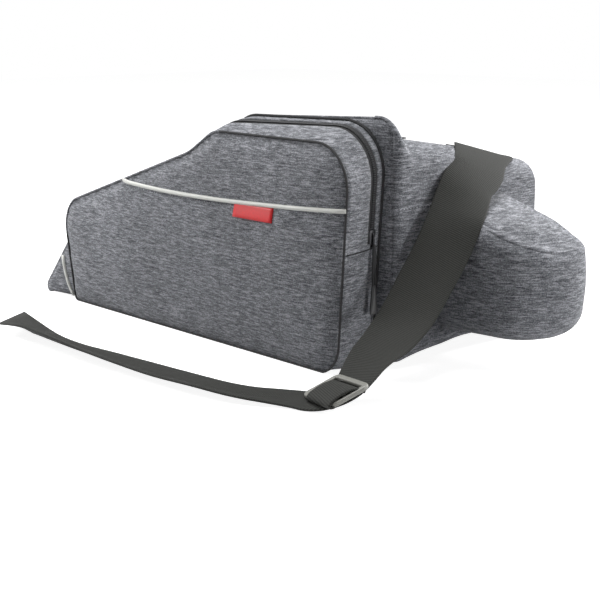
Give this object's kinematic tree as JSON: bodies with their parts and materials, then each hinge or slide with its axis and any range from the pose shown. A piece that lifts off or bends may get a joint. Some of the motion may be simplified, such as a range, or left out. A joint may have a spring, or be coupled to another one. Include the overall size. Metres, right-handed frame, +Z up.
{
  "type": "bicycle saddle bag",
  "caption": "Tweed bicycle bag with a zipped wedge side pocket, a round rear pocket, a webbing strap with a tri-glide and a quick-release rack adapter under its base.",
  "frame": {"origin": "centre of the main body's footprint, on the adapter's flat underside", "axes": "+X along the bag to the rear wall, +Y to the far side away from the zipped pocket, +Z up"},
  "size_m": [0.5115, 0.3224, 0.1848],
  "materials": {
    "tweed": "matte",
    "lining": "matte",
    "webbing": "matte",
    "binding": "matte",
    "reflective": "satin",
    "label": "satin",
    "glide": "satin",
    "plastic": "matte",
    "zip_metal": "satin",
    "steel": "satin",
    "pads": "matte"
  },
  "bodies": {
    "bag": {"main_wall_near": "tweed", "main_wall_far": "tweed", "top_frame": "tweed", "front_slope": "tweed", "rear_wall_lower": "tweed", "rear_wall_upper": "tweed", "base_panel": "lining", "lid_tape_frame": "webbing", "pocket_panel": "tweed", "pocket_gusset_rear": "tweed", "pocket_gusset_front": "tweed", "pocket_gusset_toe": "tweed", "pocket_floor": "tweed", "pocket_gusset_heel": "tweed", "pocket_tape_fixed": "webbing", "pocket_coil": "plastic", "pocket_seam_piping": "binding", "pocket_piping": "reflective", "label": "label", "round_pocket_base": "tweed", "round_pocket_wall": "tweed", "round_pocket_strip": "tweed", "strap_anchor": "webbing", "strap_webbing": "webbing", "strap_tail": "webbing", "strap_glide": "glide", "adapter_housing": "plastic", "adapter_hook": "plastic", "grip_pads": "pads", "lever_pin": "steel", "base_board": "plastic", "adapter_screws": "steel"},
    "lid": {"lid": "tweed", "lid_tape_moving": "webbing"},
    "lid_slider": {"lid_slider": "zip_metal"},
    "lid_puller": {"lid_puller": "zip_metal"},
    "pocket_flap": {"pocket_panel_flap": "tweed", "pocket_gusset_flap": "tweed", "pocket_tape_flap": "webbing", "pocket_piping_flap": "reflective"},
    "pocket_slider": {"pocket_slider": "zip_metal"},
    "pocket_puller": {"puller_cord": "webbing", "puller_tab": "plastic"},
    "round_flap": {"round_pocket_flap": "tweed"},
    "lever": {"lever": "plastic"},
    "jaw": {"adapter_jaw": "plastic"}
  },
  "joints": [
    {"name": "lid_hinge", "type": "hinge", "parent": "bag", "child": "lid", "pos_m": [0.128, 0.0775, 0.1414], "axis": [-1, 0, 0], "range_deg": [0, 100]},
    {"name": "lid_zip_slide", "type": "slide", "parent": "lid", "child": "lid_slider", "axis": [-0.9994, 0, -0.0332], "range_m": [0, 0.055]},
    {"name": "lid_puller_swing", "type": "hinge", "parent": "lid_slider", "child": "lid_puller", "pos_m": [0.1717, -0.058, 0.16756], "axis": [0, -1, 0], "range_deg": [0, 90]},
    {"name": "pocket_flap_hinge", "type": "hinge", "parent": "bag", "child": "pocket_flap", "pos_m": [0.208, -0.13098, 0.088], "axis": [0.8884, -0.0917, -0.4498], "range_deg": [0, 30]},
    {"name": "pocket_zip_slide", "type": "slide", "parent": "bag", "child": "pocket_slider", "axis": [0.0725, 0, 0.9974], "range_m": [0, 0.03]},
    {"name": "pocket_puller_swing", "type": "hinge", "parent": "pocket_slider", "child": "pocket_puller", "pos_m": [0.2005, -0.098, 0.088], "axis": [0, -1, 0], "range_deg": [0, 18]},
    {"name": "round_flap_hinge", "type": "hinge", "parent": "bag", "child": "round_flap", "pos_m": [0.256, 0, 0.1062], "axis": [0, -1, 0], "range_deg": [0, 75]},
    {"name": "lever_hinge", "type": "hinge", "parent": "bag", "child": "lever", "pos_m": [-0.063, 0, 0.01], "axis": [0, -1, 0], "range_deg": [0, 78]},
    {"name": "jaw_slide", "type": "slide", "parent": "bag", "child": "jaw", "axis": [-1, 0, 0], "range_m": [0, 0.008]}
  ],
  "couplings": [
    {"joint": "jaw_slide", "follows": "lever_hinge", "m_per_rad": 0.005803}
  ]
}
